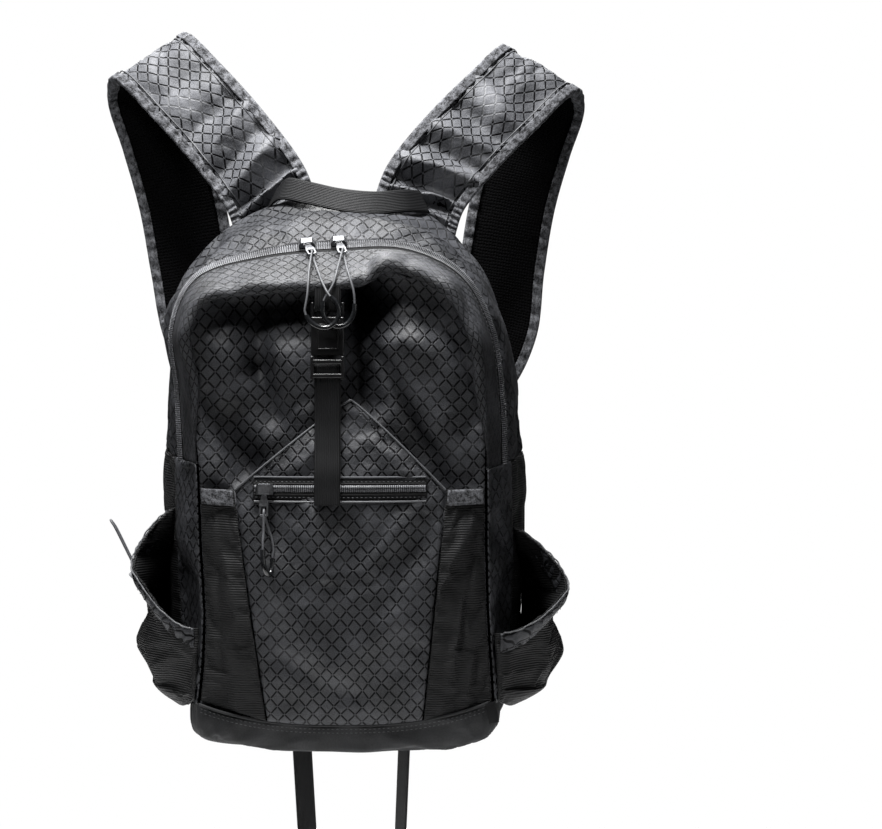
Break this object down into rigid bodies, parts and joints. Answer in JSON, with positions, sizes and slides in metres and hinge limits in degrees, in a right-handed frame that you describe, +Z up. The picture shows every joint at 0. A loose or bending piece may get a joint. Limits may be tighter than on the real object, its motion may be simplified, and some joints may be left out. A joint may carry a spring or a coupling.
{
  "type": "packable backpack",
  "caption": "Lightweight ripstop daypack with an arched main zip, front stash pocket under a buckled strap, bottle pockets, padded shoulder straps and a haul loop.",
  "frame": {"origin": "midway between the crests of the two shoulder straps, at the height where their inner faces rest on the wearer's shoulders", "axes": "+X to the right seen from the front of the pack (the wearer's left), +Y towards the wearer, -Y is the front with the buckle, +Z up"},
  "size_m": [0.4058, 0.2747, 0.6798],
  "materials": {
    "ripstop": "dark grey coated ripstop nylon, half matt with a faint grid",
    "stretch": "black ribbed stretch cloth, matt",
    "air_mesh": "black spacer mesh, matt",
    "zip_tape": "black woven tape with a fine nylon coil",
    "boot_cloth": "dark grey plain cloth, matt",
    "padded_strap": "ripstop outside and black mesh inside over thin foam",
    "webbing": "black ribbed webbing",
    "buckle_plastic": "black moulded acetal, satin",
    "nickel": "bright nickel plate",
    "cord": "grey braided cord",
    "cord_grip": "grey soft moulded tube, satin"
  },
  "bodies": {
    "root": {"front_panel": "ripstop", "back_panel": "air_mesh", "base_panel": "boot_cloth", "side_panel_left": "ripstop", "side_panel_right": "ripstop", "side_rear_left": "stretch", "side_rear_right": "stretch", "front_gusset": "ripstop", "main_zip": "zip_tape", "rear_gusset": "ripstop", "front_pocket": "ripstop", "pocket_mesh_left": "stretch", "pocket_mesh_right": "stretch", "pocket_binding_left": "webbing", "pocket_binding_right": "webbing", "pocket_zip": "zip_tape", "bottle_pocket_left": "stretch", "bottle_pocket_right": "stretch", "bottle_hem_left": "ripstop", "bottle_hem_right": "ripstop", "haul_loop": "webbing", "shoulder_strap_left": "padded_strap", "shoulder_strap_right": "padded_strap", "buckle_plug": "buckle_plastic", "buckle_socket": "buckle_plastic", "upper_tab": "webbing", "front_strap": "webbing", "main_left_slider": "nickel", "main_left_pull": "nickel", "main_right_slider": "nickel", "main_right_pull": "nickel", "pocket_slider": "nickel", "pocket_pull": "nickel", "main_left_cord": "cord", "main_right_cord": "cord", "pocket_cord": "cord", "drawcord_left": "cord", "main_left_grip": "cord_grip", "main_right_grip": "cord_grip", "pocket_grip": "cord_grip", "cord_lock_left": "cord_grip", "corner_loop": "webbing", "ladder_lock_left": "buckle_plastic", "ladder_lock_right": "buckle_plastic", "strap_webbing_left": "webbing", "strap_webbing_right": "webbing"}
  },
  "joints": []
}
